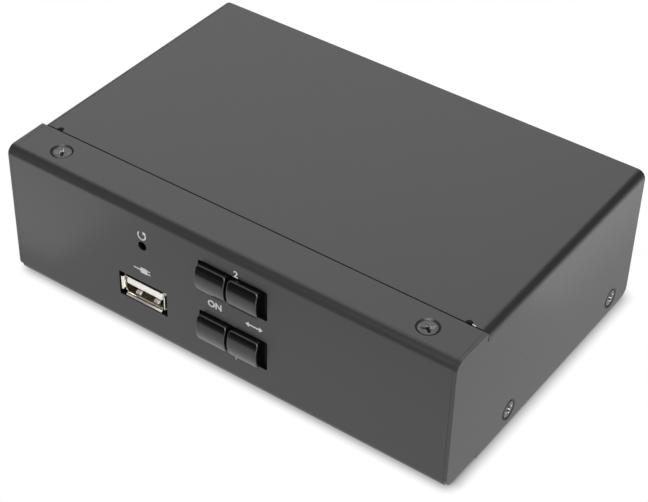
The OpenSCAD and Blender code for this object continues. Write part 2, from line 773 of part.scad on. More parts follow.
module front_usb_shell() color(nickel) {
    tube_y = front_y + flare_l;
    end_y = front_y + usb_d;
    difference() {
        box_y(-usb_x, usb_z, usb_w, usb_h, tube_y, end_y);
        box_y(-usb_x, usb_z, usb_in_w, usb_in_h, tube_y - overlap, end_y + overlap);
    }
    translate([-usb_x, 0, usb_z]) {
        for (a = [0, 180]) rotate([0, a, 0])
            flared_lip(usb_w - 2 * flare_corner, usb_h / 2, front_y);
        for (a = [90, 270]) rotate([0, a, 0])
            flared_lip(usb_h - 2 * flare_corner, usb_w / 2, front_y);
        for (s = [-1, 1])
            box_y(s * (usb_w - shell_t) / 2, -(usb_h + usb_rise - hair) / 2, shell_t, usb_rise + hair,
                  board_y0 + leg_back, board_y0 + leg_back + leg_d);
    }
}

module front_usb_insulator() color(white_plastic) {
    end_y = front_y + usb_d;
    box_y(-usb_x, usb_z, usb_in_w - 2 * insert_gap, usb_in_h - 2 * insert_gap, end_y - block_d, end_y);
    box_y(-usb_x, usb_z + usb_tongue_up, usb_tongue_w, tongue_t,
          front_y + front_tongue_back, end_y - block_d + hair);
}

// Four contact strips under a USB-A tongue
module usb_contacts(x, z, y0, y1) {
    for (i = [-1.5:1:1.5])
        box_y(x + i * contact_pitch, z - (tongue_t + contact_t) / 2, contact_w, contact_t, y0, y1);
}

module front_usb_contacts() color(gold)
    usb_contacts(-usb_x, usb_z + usb_tongue_up, front_y + flare_l + 2 * tongue_back,
                 front_y + usb_d - block_d);

// Outline of a video socket, drawn in by a wall
module video_outline(x, wall) {
    w = video_w / 2 - wall;
    z0 = deck_z + wall;
    z1 = deck_z + video_h - wall;
    polygon([
        [x - w, z1], [x - w, z0 + video_cut], [x - w + video_cut, z0],
        [x + w - video_cut, z0], [x + w, z0 + video_cut], [x + w, z1]
    ]);
}

module video_shell(x) color(nickel) difference() {
    extrude_y(mouth_y - video_d, mouth_y) video_outline(x, 0);
    extrude_y(mouth_y - video_d - overlap, mouth_y + overlap) video_outline(x, shell_t);
}

module video_insulator(x) color(black_plastic) {
    end_y = mouth_y - video_d;
    extrude_y(end_y, end_y + block_d) video_outline(x, shell_t + insert_gap);
    box_y(x, deck_z + video_h / 2, video_tongue_w, video_tongue_t,
          end_y + block_d - hair, mouth_y - tongue_back);
}

module usb_b_shell(x) color(nickel) difference() {
    z = deck_z + usb_b_h / 2;
    box_y(x, z, usb_b_w, usb_b_h, mouth_y - usb_b_d, mouth_y);
    box_y(x, z, usb_b_w - 2 * shell_t, usb_b_h - 2 * shell_t, mouth_y - usb_b_d - overlap, mouth_y + overlap);
}

module usb_b_insulator(x) color(white_plastic) {
    z = deck_z + usb_b_h / 2;
    w = usb_b_open_w / 2;
    h = usb_b_open_h / 2;
    end_y = mouth_y - usb_b_d;
    margin = shell_t + insert_gap;
    difference() {
        box_y(x, z, usb_b_w - 2 * margin, usb_b_h - 2 * margin, end_y, mouth_y);
        extrude_y(end_y + block_d, mouth_y + overlap) polygon([
            [x - w, z - h], [x + w, z - h], [x + w, z + h - usb_b_cut],
            [x + w - usb_b_cut, z + h], [x - w + usb_b_cut, z + h], [x - w, z + h - usb_b_cut]
        ]);
    }
    box_y(x, z, usb_b_core_w, usb_b_core_h, end_y + block_d - hair, mouth_y - tongue_back);
}

// Levels of the lower and the upper opening of the USB pair
function usb_pair_z(i) = deck_z + usb_pair_h / 2 + (i - 0.5) * usb_pair_pitch;

module usb_pair_shell() color(nickel) {
    z = deck_z + usb_pair_h / 2;
    back_y = mouth_y - usb_pair_d;
    difference() {
        box_y(usb_pair_x, z, usb_pair_w, usb_pair_h, back_y, mouth_y);
        box_y(usb_pair_x, z, usb_pair_w - 2 * shell_t, usb_pair_h - 2 * shell_t,
              back_y - overlap, mouth_y - shell_t);
        for (i = [0, 1])
            box_y(usb_pair_x, usb_pair_z(i), usb_in_w, usb_in_h, back_y, mouth_y + overlap);
    }
}

module usb_pair_insulator() color(white_plastic) {
    z = deck_z + usb_pair_h / 2;
    back_y = mouth_y - usb_pair_d;
    margin = shell_t + insert_gap;
    box_y(usb_pair_x, z, usb_pair_w - 2 * margin, usb_pair_h - 2 * margin, back_y, back_y + block_d);
    for (i = [0, 1])
        box_y(usb_pair_x, usb_pair_z(i) + usb_tongue_up, usb_tongue_w, tongue_t,
              back_y + block_d - hair, mouth_y - tongue_back);
}

module usb_pair_contacts() color(gold) for (i = [0, 1])
    usb_contacts(usb_pair_x, usb_pair_z(i) + usb_tongue_up, mouth_y - usb_pair_d + block_d,
                 mouth_y - 2 * tongue_back);

module power_inlet() color(black_plastic) difference() {
    box_y(power_x, deck_z + power_h / 2, power_w, power_h, mouth_y - power_d, mouth_y);
    bar_y(power_x, deck_z + power_bore_up, power_bore_r, mouth_y - power_bore_d, mouth_y + overlap);
    bar_y(power_x, deck_z + power_bore_up, power_root_r,
          mouth_y - power_bore_d - power_pin_root, mouth_y - power_bore_d + overlap);
}

module power_pin() color(nickel) {
    root_end = mouth_y - power_bore_d;
    bar_y(power_x, deck_z + power_bore_up, power_root_r, root_end - power_pin_root, root_end);
    bar_y(power_x, deck_z + power_bore_up, power_pin_r, root_end - hair, mouth_y - power_pin_back);
}

// Middle of the free stretch of the main board, between the pin strip and the sockets
deck_y = (strip_y + strip_h + mouth_y - usb_b_d) / 2;
hub_x = usb_pair_x + small_chip_w;

module video_chip() color(black_plastic)
    block(video_in2_x, deck_y, deck_z, video_chip_w, video_chip_w, video_chip_h);

module hub_chip() color(black_plastic)
    block(hub_x, deck_y, deck_z, small_chip_w, small_chip_w, small_chip_h);

module controller_chip() color(black_plastic)
    block(-usb_x, deck_y, deck_z, small_chip_w, small_chip_w, small_chip_h);

module capacitors() color("#3a3f4a") for (s = [-1, 1])
    translate([(video_out_x + power_x) / 2, deck_y + s * 2 * capacitor_r, deck_z])
        cylinder(r = capacitor_r, h = capacitor_h);

module inductor() color("#2b2b2b")
    block(video_out_x - capacitor_r, deck_y - inductor_w, deck_z, inductor_w, inductor_w, inductor_h);

module crystals() color(nickel) for (x = [-usb_x, hub_x])
    block(x, deck_y + (small_chip_w + crystal_w) / 2 + chip_gap, deck_z, crystal_l, crystal_w, crystal_h);

chassis();
cover();
lip_screws();
side_screws();
feet();
main_board();
standoffs();
board_screws();
button_board();
pin_strip();
board_pins();
button_cap(0, 0);  // cap_upper_left
button_cap(1, 0);  // cap_upper_right
button_cap(0, 1);  // cap_lower_left
button_cap(1, 1);  // cap_lower_right
plunger(column_x[0], row_z[0]);  // plunger_upper_left
plunger(column_x[1], row_z[0]);  // plunger_upper_right
plunger(column_x[0], row_z[1]);  // plunger_lower_left
plunger(column_x[1], row_z[1]);  // plunger_lower_right
plunger(-reset_x, reset_z);  // plunger_reset
switch_body(column_x[0], row_z[0]);  // switch_upper_left
switch_body(column_x[1], row_z[0]);  // switch_upper_right
switch_body(column_x[0], row_z[1]);  // switch_lower_left
switch_body(column_x[1], row_z[1]);  // switch_lower_right
switch_body(-reset_x, reset_z);  // switch_reset
snap_dome(column_x[0], row_z[0]);  // dome_upper_left
snap_dome(column_x[1], row_z[0]);  // dome_upper_right
snap_dome(column_x[0], row_z[1]);  // dome_lower_left
snap_dome(column_x[1], row_z[1]);  // dome_lower_right
snap_dome(-reset_x, reset_z);  // dome_reset
indicator_lamps();
front_usb_shell();
front_usb_insulator();
front_usb_contacts();
video_shell(video_out_x);  // video_out_shell
video_insulator(video_out_x);  // video_out_insulator
video_shell(video_in1_x);  // video_in1_shell
video_insulator(video_in1_x);  // video_in1_insulator
video_shell(video_in2_x);  // video_in2_shell
video_insulator(video_in2_x);  // video_in2_insulator
usb_b_shell(usb_in1_x);  // usb_in1_shell
usb_b_insulator(usb_in1_x);  // usb_in1_insulator
usb_b_shell(usb_in2_x);  // usb_in2_shell
usb_b_insulator(usb_in2_x);  // usb_in2_insulator
usb_pair_shell();
usb_pair_insulator();
usb_pair_contacts();
power_inlet();
power_pin();
video_chip();
hub_chip();
controller_chip();
capacitors();
inductor();
crystals();
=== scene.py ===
import json
import math

import bmesh
import bpy
from mathutils import Matrix, Vector


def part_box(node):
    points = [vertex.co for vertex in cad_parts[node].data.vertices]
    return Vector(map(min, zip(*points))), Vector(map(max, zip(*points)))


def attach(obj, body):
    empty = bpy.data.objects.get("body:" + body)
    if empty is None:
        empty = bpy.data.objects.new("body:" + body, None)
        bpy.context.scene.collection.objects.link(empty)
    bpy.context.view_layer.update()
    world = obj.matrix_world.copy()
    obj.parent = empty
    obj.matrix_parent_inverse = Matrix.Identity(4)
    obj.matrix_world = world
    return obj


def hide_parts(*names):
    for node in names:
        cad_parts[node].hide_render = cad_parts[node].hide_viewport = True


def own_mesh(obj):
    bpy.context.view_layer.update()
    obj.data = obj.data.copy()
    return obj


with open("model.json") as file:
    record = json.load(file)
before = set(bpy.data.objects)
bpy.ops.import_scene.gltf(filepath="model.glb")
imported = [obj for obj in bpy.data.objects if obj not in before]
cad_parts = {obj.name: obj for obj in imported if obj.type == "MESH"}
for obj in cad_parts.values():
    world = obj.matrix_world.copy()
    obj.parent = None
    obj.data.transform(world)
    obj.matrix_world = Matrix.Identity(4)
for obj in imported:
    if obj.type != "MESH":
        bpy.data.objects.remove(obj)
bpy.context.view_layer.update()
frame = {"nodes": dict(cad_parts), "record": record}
nodes = frame["nodes"]

MM = 0.001


def box_mm(node):
    """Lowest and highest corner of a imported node, in millimetres."""
    low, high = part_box(node)
    return low / MM, high / MM


# Main faces of the case in millimetres; all but the lip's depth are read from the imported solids
FRONT_Y = box_mm("chassis")[0].y
REAR_Y = box_mm("chassis")[1].y
TOP_Z = box_mm("cover")[1].z
HALF_W = box_mm("cover")[1].x
BASE_Z = box_mm("feet")[1].z
LIP_DEPTH = 12.6
SEAM_Y = FRONT_Y + LIP_DEPTH


# Camera

CAMERA_AT = (195.78, -283.45, 294.47)
CAMERA_TURN = (50.5508, -1.2689, 35.5618)
CAMERA_LENS = 97.735

camera_data = bpy.data.cameras.new("camera")
camera_data.sensor_fit = "HORIZONTAL"
camera_data.sensor_width = 36
camera_data.lens = CAMERA_LENS
camera_data.clip_start = 0.01
camera_data.clip_end = 20
camera = bpy.data.objects.new("camera", camera_data)
camera.location = Vector(CAMERA_AT) * MM
camera.rotation_euler = [math.radians(a) for a in CAMERA_TURN]
bpy.context.scene.collection.objects.link(camera)
bpy.context.scene.camera = camera
bpy.context.scene.view_settings.view_transform = "Standard"


# Node helpers for the materials

# Most values of a noise texture lie in this span
NOISE_SPAN = (0.3, 0.7)


def ranged(tree, value, source, target):
    """A map-range node that takes a value from the source pair to the target pair."""
    node = tree.nodes.new("ShaderNodeMapRange")
    for key, number in zip(("From Min", "From Max", "To Min", "To Max"), source + target):
        node.inputs[key].default_value = number
    tree.links.new(value, node.inputs["Value"])
    return node


class Shader:
    """A material's node tree, with short calls for the nodes that are used here."""

    def __init__(self, name):
        self.material = bpy.data.materials.new(name)
        self.material.use_nodes = True
        self.tree = self.material.node_tree
        self.bsdf = self.tree.nodes["Principled BSDF"]
        self.coords = self.tree.nodes.new("ShaderNodeTexCoord").outputs["Object"]

    def set(self, **values):
        for key, value in values.items():
            self.bsdf.inputs[key.replace("_", " ")].default_value = value

    def link(self, output, key):
        self.tree.links.new(output, self.bsdf.inputs[key])

    def stretched(self, scale):
        mapping = self.tree.nodes.new("ShaderNodeMapping")
        mapping.inputs["Scale"].default_value = scale
        self.tree.links.new(self.coords, mapping.inputs["Vector"])
        return mapping.outputs["Vector"]

    def noise(self, size_mm, detail=2.0, rough=0.5, vector=None):
        node = self.tree.nodes.new("ShaderNodeTexNoise")
        node.inputs["Scale"].default_value = 1 / (size_mm * MM)
        node.inputs["Detail"].default_value = detail
        node.inputs["Roughness"].default_value = rough
        self.tree.links.new(vector or self.coords, node.inputs["Vector"])
        return node.outputs["Fac"]

    def between(self, fac, low, high):
        """Takes a noise's span to the values low and high; a mask of 0 and 1 gives just these two."""
        return ranged(self.tree, fac, NOISE_SPAN, (low, high)).outputs["Result"]

    def colours(self, fac, first, second, under=None):
        """A mix of two colours; an output given as under takes the place of the first."""
        node = self.tree.nodes.new("ShaderNodeMix")
        node.data_type = "RGBA"
        node.inputs["A"].default_value = (*first, 1)
        node.inputs["B"].default_value = (*second, 1)
        self.tree.links.new(fac, node.inputs["Factor"])
        if under:
            self.tree.links.new(under, node.inputs["A"])
        return node.outputs["Result"]

    def calc(self, operation, *values):
        """A math node; its values are numbers or outputs of other nodes."""
        node = self.tree.nodes.new("ShaderNodeMath")
        node.operation = operation
        for socket, value in zip(node.inputs, values):
            if isinstance(value, float):
                socket.default_value = value
            else:
                self.tree.links.new(value, socket)
        return node.outputs["Value"]

    def inside(self, low, high):
        """1 inside a box between two corners in millimetres, 0 outside of it."""
        axes = self.tree.nodes.new("ShaderNodeSeparateXYZ")
        self.tree.links.new(self.coords, axes.inputs["Vector"])
        near = []
        for axis, a, b in zip("XYZ", low, high):
            near.append(self.calc("COMPARE", axes.outputs[axis], (a + b) / 2 * MM, (b - a) / 2 * MM))
        return self.calc("MULTIPLY", self.calc("MULTIPLY", near[0], near[1]), near[2])

    def bump(self, height, strength, distance_mm):
        node = self.tree.nodes.new("ShaderNodeBump")
        node.inputs["Strength"].default_value = strength
        node.inputs["Distance"].default_value = distance_mm * MM
        self.tree.links.new(height, node.inputs["Height"])
        self.tree.links.new(node.outputs["Normal"], self.bsdf.inputs["Normal"])


def tinted(level, share):
    return tuple(c * share for c in level)


# Painted shade on the cut edges of the front panel's openings: near black and dull
CUT_SHADE_COLOUR = (0.004, 0.004, 0.004)
CUT_SHADE_SHINE = 0.1
GRAIN_GLOSS = 0.04
GRAIN_DEPTH = 0.1
LINE_GLOSS = 0.06
LINE_DEPTH = 0.05
METAL_PATCH = 2.0


def speckled(name, colour, vary, roughness, grain_mm, bump, patch_mm=6.0, specular=0.5, shade_box=None):
    """A surface with fine grain: its colour varies in patches, and the grain lifts it and changes its gloss.

    Inside the optional box, two corners in millimetres, the surface is dark and dull: painted shade.
    """
    s = Shader(name)
    s.set(Specular_IOR_Level=specular)
    patches = s.noise(patch_mm, 4)
    grain = s.noise(grain_mm, 3, 0.6)
    base = s.colours(patches, tinted(colour, 1 - vary), tinted(colour, 1 + vary))
    if shade_box:
        cut = s.inside(*shade_box)
        base = s.colours(cut, colour, CUT_SHADE_COLOUR, base)
        s.link(s.between(cut, specular, CUT_SHADE_SHINE), "Specular IOR Level")
    s.link(base, "Base Color")
    s.link(s.between(grain, roughness - GRAIN_GLOSS, roughness + GRAIN_GLOSS), "Roughness")
    s.bump(grain, bump, grain_mm * GRAIN_DEPTH)
    return s.material


def brushed(name, colour, vary, roughness, stretch, line_mm, bump):
    """Rolled or turned metal: fine lines along one direction."""
    s = Shader(name)
    s.set(Metallic=1.0)
    lines = s.noise(line_mm, 3, 0.6, s.stretched(stretch))
    patches = s.noise(METAL_PATCH, 3)
    s.link(s.colours(patches, tinted(colour, 1 - vary), tinted(colour, 1 + vary)), "Base Color")
    s.link(s.between(lines, roughness - LINE_GLOSS, roughness + LINE_GLOSS), "Roughness")
    s.bump(lines, bump, line_mm * LINE_DEPTH)
    return s.material


# The space within the front panel's sheet, where the cut edges of its openings lie; the paint there gets
# painted shade
CUT_FRONT = 0.05
CUT_BACK = 1.5
CUT_MARGIN_X = 6
CUT_MARGIN_Z = 4
CUT_SHADE_BOX = (
    (CUT_MARGIN_X - HALF_W, FRONT_Y + CUT_FRONT, BASE_Z + CUT_MARGIN_Z),
    (HALF_W - CUT_MARGIN_X, FRONT_Y + CUT_BACK, TOP_Z - CUT_MARGIN_Z),
)

PAINT = speckled("paint", (0.03, 0.03, 0.0303), 0.05, 0.38, 0.35, 0.25, shade_box=CUT_SHADE_BOX)
RAW_STEEL = brushed("raw_steel", (0.62, 0.6, 0.57), 0.1, 0.3, (1, 1, 8), 0.2, 0.2)
SCREW = brushed("screw_plate", (0.095, 0.095, 0.097), 0.15, 0.36, (1, 1, 1), 0.3, 0.2)
RECESS = brushed("screw_recess", (0.6, 0.595, 0.59), 0.2, 0.22, (1, 1, 1), 0.2, 0.3)
SIDE_SCREW = brushed("side_screw_plate", (0.115, 0.115, 0.117), 0.15, 0.36, (1, 1, 1), 0.3, 0.2)
SIDE_RECESS = brushed("side_screw_recess", (0.44, 0.43, 0.42), 0.25, 0.22, (1, 1, 1), 0.2, 0.3)
CAP = speckled("cap_plastic", (0.004, 0.004, 0.0042), 0.1, 0.16, 0.4, 0.02, 3.0, specular=0.65)
# Lighter black on a band of the caps' rounded edges: a painted highlight
CAP_HIGHLIGHT = speckled("cap_painted_highlight_edge", (0.05, 0.05, 0.051), 0.1, 0.3, 0.4, 0.03, 3.0)
# Dull black for the caps' flanges and stems; on the screws it is painted shade in the gap round the head and
# on the recess's floor
DULL_BLACK_AND_SHADE = speckled("dull_black_and_painted_shade", (0.003, 0.003, 0.003), 0.1, 0.6, 0.4, 0.05, 3.0, specular=0.15)
BLACK = speckled("black_plastic", (0.012, 0.012, 0.012), 0.15, 0.5, 0.2, 0.2)
WHITE = speckled("white_plastic", (0.86, 0.85, 0.8), 0.03, 0.42, 0.3, 0.1)
NICKEL = brushed("nickel", (0.82, 0.78, 0.7), 0.03, 0.16, (1, 0.12, 1), 0.15, 0.03)
# Lighter, rougher nickel for the mouth's rim, the lower lip's curl and the fingers: its extra lightness is a
# painted highlight
NICKEL_HIGHLIGHT = brushed("nickel_lip_painted_highlight", (0.9, 0.87, 0.8), 0.03, 0.42, (1, 0.12, 1), 0.15, 0.05)
# Darker, browner nickel for the sleeve's inner wall: painted shade inside the socket
NICKEL_SHADE = brushed("nickel_inside_painted_shade", (0.36, 0.31, 0.24), 0.1, 0.34, (1, 0.12, 1), 0.15, 0.1)
GOLD = brushed("contact_gold", (0.78, 0.56, 0.22), 0.08, 0.25, (1, 0.2, 1), 0.12, 0.1)
BRASS = brushed("turned_brass", (0.66, 0.5, 0.2), 0.08, 0.3, (1, 1, 6), 0.2, 0.15)
BOARD = speckled("solder_mask", (0.012, 0.085, 0.035), 0.15, 0.32, 0.5, 0.1)
CAN = speckled("capacitor_sleeve", (0.03, 0.035, 0.05), 0.1, 0.3, 0.3, 0.08)
RUBBER = speckled("rubber", (0.014, 0.014, 0.014), 0.2, 0.75, 0.25, 0.4, specular=0.3)
PRINT = speckled("print", (0.56, 0.56, 0.56), 0.04, 0.55, 0.25, 0.1)

BY_SLOT = {
    "case_paint": PAINT,
    "dark_screw": SCREW,
    "button_plastic": CAP,
    "black_plastic": BLACK,
    "white_plastic": WHITE,
    "nickel": NICKEL,
    "contact_metal": GOLD,
    "brass": BRASS,
    "circuit_board": BOARD,
    "capacitor_can": CAN,
    "rubber": RUBBER,
}
for entry in frame["record"]["subparts"]:
    cad = nodes[entry["node"]]
    cad.data.materials.clear()
    cad.data.materials.append(BY_SLOT[entry["material_slot"]])


# Mesh helpers: everything is given in millimetres in the shared frame

def finish_piece(name, bm, materials, replaces=(), body="case", smooth=35):
    """Turns a bmesh in millimetres into a piece that rides on a body."""
    bmesh.ops.recalc_face_normals(bm, faces=bm.faces)
    mesh = bpy.data.meshes.new(name)
    bm.to_mesh(mesh)
    bm.free()
    mesh.transform(Matrix.Scale(MM, 4))
    for material in materials:
        mesh.materials.append(material)
    mesh.shade_smooth()
    mesh.set_sharp_from_angle(angle=math.radians(smooth))
    piece = bpy.data.objects.new(name, mesh)
    bpy.context.scene.collection.objects.link(piece)
    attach(piece, body)
    if replaces:
        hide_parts(*replaces)
    return piece


def add_box(bm, low, high, bevel=0.0, segments=2):
    """A box between two corners, with its edges rounded."""
    low = Vector(low)
    high = Vector(high)
    made = bmesh.ops.create_cube(bm, size=1)
    bmesh.ops.scale(bm, vec=high - low, verts=made["verts"])
    bmesh.ops.translate(bm, vec=(low + high) / 2, verts=made["verts"])
    if bevel:
        edges = list(dict.fromkeys(e for v in made["verts"] for e in v.link_edges))
        bmesh.ops.bevel(bm, geom=edges, offset=bevel, segments=segments, profile=0.5, affect="EDGES")


def add_loops(bm, loops, close=False):
    """Joins equal loops of points with strips of faces; close joins the last loop to the first."""
    rings = [[bm.verts.new(p) for p in loop] for loop in loops]
    pairs = list(zip(rings, rings[1:]))
    if close:
        pairs.append((rings[-1], rings[0]))
    count = len(rings[0])
    for one, two in pairs:
        for k in range(count):
            m = (k + 1) % count
            bm.faces.new((one[k], one[m], two[m], two[k]))
    return rings


def add_prism(bm, outline, low, high, place, bevel=0.0, segments=2, limit=30):
    """An outline of 2-D points drawn from low to high; place(u, v, w) gives the point in space."""
    first, last = add_loops(bm, [[place(u, v, w) for u, v in outline] for w in (low, high)])
    bm.faces.new(first)
    bm.faces.new(last)
    faces = list(dict.fromkeys(f for v in first + last for f in v.link_faces))
    bmesh.ops.recalc_face_normals(bm, faces=faces)
    if bevel:
        edges = dict.fromkeys(e for f in faces for e in f.edges)
        sharp = [e for e in edges if e.calc_face_angle(0) > math.radians(limit)]
        bmesh.ops.bevel(bm, geom=sharp, offset=bevel, segments=segments, profile=0.5, affect="EDGES")


AXIS_R = 0.01


def add_lathe(bm, profile, place, steps=48):
    """Points (radius, height) turned round an axis; place(x, y, h) gives the point in space."""
    loops = []
    for r, h in profile:
        turn = [2 * math.pi * k / steps for k in range(steps)]
        loops.append([place(r * math.cos(a), r * math.sin(a), h) for a in turn])
    rings = add_loops(bm, loops)
    for ring, point in ((rings[0], profile[0]), (rings[-1], profile[-1])):
        if point[0] < AXIS_R:
            bmesh.ops.remove_doubles(bm, verts=ring, dist=AXIS_R)
    return rings


def rounded_outline(width, height, radius, steps=5, rises=0):
    """A rectangle round the origin with rounded corners; rises adds points along its upright sides."""
    points = []
    for sx, sy, start in ((1, 1, 0), (-1, 1, 90), (-1, -1, 180), (1, -1, 270)):
        for k in range(steps + 1):
            a = math.radians(start + 90 * k / steps)
            points.append((sx * (width / 2 - radius) + radius * math.cos(a),
                           sy * (height / 2 - radius) + radius * math.sin(a)))
        if sx * sy < 0:
            for k in range(1, rises + 1):
                points.append((sx * width / 2, sy * (height / 2 - radius) * (1 - 2 * k / (rises + 1))))
    return points


def along_x(u, v, w):
    return (w, u, v)


# Push-button caps

CAP_W = 8.65
CAP_H = 7.75
CAP_CREST_OUT = 2.25
CAP_CREST_V = 0.2
CAP_TOP_DROP = 1.15
CAP_FOOT_DROP = 1.05
CAP_EDGE = 0.3
CAP_MIDDLE = 0.05
CAP_CORNER = 0.9
CAP_LEAST_CORNER = 0.03
CAP_FLANGE_BACK = 1.3
CAP_FLANGE_T = 1.0
CAP_FLANGE_EDGE = 0.15
STEM_R = 2.6
STEM_HOLE_R = 1.7
STEM_FLOOR = 1.0
EDGE_STEPS = 5
# Rings of the cap's rounded edge that carry the painted highlight
CAP_HIGHLIGHT_FROM = 3
CAP_HIGHLIGHT_TO = 5
FACE_STEPS = 9
FACE_RISES = 15


def cap_face_y(v):
    """Where the cap's rounded face lies at a height from its middle; it falls back more at the top."""
    rise = v - CAP_CREST_V
    if rise > 0:
        drop = CAP_TOP_DROP * (rise / (CAP_H / 2 - CAP_CREST_V)) ** 2
    else:
        drop = CAP_FOOT_DROP * (rise / (CAP_H / 2 + CAP_CREST_V)) ** 2
    return FRONT_Y - CAP_CREST_OUT + drop


def cap_loops(x_mid, z_mid, back_y):
    """Loops of a cap from its back over its rounded edge to the middle of its face."""
    steps = [(CAP_EDGE * (1 - math.cos(math.pi / 2 * k / EDGE_STEPS)),
              CAP_EDGE * (1 - math.sin(math.pi / 2 * k / EDGE_STEPS))) for k in range(EDGE_STEPS + 1)]
    last = CAP_H / 2 - CAP_MIDDLE
    steps += [(CAP_EDGE + (last - CAP_EDGE) * k / FACE_STEPS, 0) for k in range(1, FACE_STEPS + 1)]
    loops = []
    for inset, sunk in steps:
        corner = max(CAP_CORNER - inset, CAP_LEAST_CORNER)
        outline = rounded_outline(CAP_W - 2 * inset, CAP_H - 2 * inset, corner, rises=FACE_RISES)
        loops.append([(x_mid + u, cap_face_y(v) + sunk, z_mid + v) for u, v in outline])
    back = [(x, back_y, z) for x, y, z in loops[0]]
    return [back] + loops


def make_cap(place):
    node = "cap_" + place
    low, high = box_mm(node)
    plunger_low, plunger_high = box_mm("plunger_" + place)
    x_mid = (plunger_low.x + plunger_high.x) / 2
    z_mid = (plunger_low.z + plunger_high.z) / 2
    flange_y = FRONT_Y + CAP_FLANGE_BACK
    stem_y = flange_y + CAP_FLANGE_T
    bm = bmesh.new()
    rings = add_loops(bm, cap_loops(x_mid, z_mid, stem_y))
    # A band of the rounded edge gets the lighter black: painted highlight
    for ring in rings[CAP_HIGHLIGHT_FROM:CAP_HIGHLIGHT_TO]:
        for face in {f for v in ring for f in v.link_faces}:
            face.material_index = 1
    bm.faces.new(rings[0])
    bm.faces.new(rings[-1])
    seen = set(bm.faces)
    add_box(bm, (low.x, flange_y, low.z), (high.x, stem_y, high.z), CAP_FLANGE_EDGE)
    stem = [(0, stem_y), (STEM_R, stem_y), (STEM_R, high.y), (STEM_HOLE_R, high.y)]
    stem.append((STEM_HOLE_R, stem_y + STEM_FLOOR))
    add_lathe(bm, stem, lambda x, y, h: (x_mid + x, h, z_mid + y))
    for face in bm.faces:
        if face not in seen:
            face.material_index = 2
    looks = [CAP, CAP_HIGHLIGHT, DULL_BLACK_AND_SHADE]
    finish_piece("button_" + place, bm, looks, [node], "button_" + place)


for place in ("upper_left", "upper_right", "lower_left", "lower_right"):
    make_cap(place)


# Snap domes that flatten when a button is pressed

DOME_T = 0.15
DOME_STEPS = 12
DOME_TURN_STEPS = 40


def arc_profile(ball, drop, rim, steps):
    """Points of a spherical cap from its crown to its rim; drop is how deep the ball's centre lies."""
    points = []
    for k in range(steps + 1):
        r = rim * k / steps
        points.append((r, math.sqrt(ball ** 2 - r ** 2) - drop))
    return points


def make_dome(place):
    node = "dome_" + place
    low, high = box_mm(node)
    x_mid = (low.x + high.x) / 2
    z_mid = (low.z + high.z) / 2
    rim = (high.x - low.x) / 2
    height = high.y - low.y
    ball = (rim ** 2 + height ** 2) / (2 * height)
    drop = ball - height
    inside = math.sqrt((ball - DOME_T) ** 2 - drop ** 2)
    profile = arc_profile(ball - DOME_T, drop, inside, DOME_STEPS)
    profile += reversed(arc_profile(ball, drop, rim, DOME_STEPS))
    bm = bmesh.new()
    add_lathe(bm, profile, lambda x, y, h: (x_mid + x, high.y - h, z_mid + y), DOME_TURN_STEPS)
    dome = finish_piece("snap_dome_" + place, bm, [NICKEL], [node])
    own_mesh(dome)


for place in ("upper_left", "upper_right", "lower_left", "lower_right", "reset"):
    make_dome(place)


# Screws with a cross recess

LIP_HEAD_R = 2.45
SIDE_HEAD_R = 2.2
SHANK_R = 1.4
HEAD_SINK = 0.25
SIDE_HEAD_SINK = 0.06
SCREW_L = 5.0
HEAD_STEPS = 64
LIP_RECESS_D = 0.95
SIDE_RECESS_D = 0.95

# The rounded rim of a head: how far each ring lies in from its radius and down from its top
HEAD_RIM = ((0.14, 0.0), (0.04, 0.05), (0.0, 0.16))
TIP_CHAMFER = 0.3

# Half length, half width and cut inner corner of the cross at the head's top and at its floor
CROSS_TOP = (1.7, 0.46, 0.22)
CROSS_FLOOR = (1.3, 0.3, 0.1)
ARM_TAPER = 0.8
ARM_TIP_W = 0.4
ARM_TIP_L = 0.15


def cross_outline(half_length, half_width, corner):
    """One loop round a cross with slightly tapered arms and cut inner corners."""
    arm = [
        (half_width, half_width + corner),
        (half_width * ARM_TAPER, half_length - ARM_TIP_L),
        (half_width * ARM_TIP_W, half_length),
        (-half_width * ARM_TIP_W, half_length),
        (-half_width * ARM_TAPER, half_length - ARM_TIP_L),
        (-half_width, half_width + corner),
    ]
    loop = []
    for turn in range(4):
        a = math.radians(90 * turn)
        for u, v in arm:
            loop.append((u * math.cos(a) - v * math.sin(a), u * math.sin(a) + v * math.cos(a)))
    return loop


def add_sunk_screw(bm, place, head_r, recess_d):
    """A countersunk screw along -h, with its head's top at height 0; place maps to space.

    Its looks are the head, the recess's walls, and painted shade for the recess's floor and the head's cone.
    """
    neck = head_r - SHANK_R
    tip = HEAD_SINK - SCREW_L
    profile = [(head_r - inwards, -down) for inwards, down in HEAD_RIM]
    profile += [(SHANK_R, -neck), (SHANK_R, tip + TIP_CHAMFER), (SHANK_R - TIP_CHAMFER, tip), (0, tip)]
    rings = add_lathe(bm, profile, place, HEAD_STEPS)
    # The head's cone, seen in the gap round the head, gets the painted shade
    for v in rings[2]:
        for face in v.link_faces:
            face.material_index = 2
    top = rings[0]
    outlines = ((cross_outline(*CROSS_TOP), 0), (cross_outline(*CROSS_FLOOR), -recess_d))
    upper, lower = add_loops(bm, [[place(x, y, h) for x, y in outline] for outline, h in outlines])
    floor = bm.faces.new(lower)
    for v in upper + lower:
        for face in v.link_faces:
            face.material_index = 1
    floor.material_index = 2
    edges = []
    for ring in (top, upper):
        for k, v in enumerate(ring):
            edges.append(bm.edges.get((v, ring[(k + 1) % len(ring)])))
    bmesh.ops.triangle_fill(bm, use_beauty=True, edges=edges)


def make_screws(name, node, seats, head_r, recess_d, looks):
    bm = bmesh.new()
    for origin, out, turn in seats:
        origin = Vector(origin)
        out = Vector(out)
        side = out.orthogonal().normalized()
        other = out.cross(side)
        c = math.cos(math.radians(turn))
        s = math.sin(math.radians(turn))

        def place(x, y, h):
            return origin + side * (x * c - y * s) + other * (x * s + y * c) + out * h

        add_sunk_screw(bm, place, head_r, recess_d)
    finish_piece(name, bm, looks, [node], smooth=30)


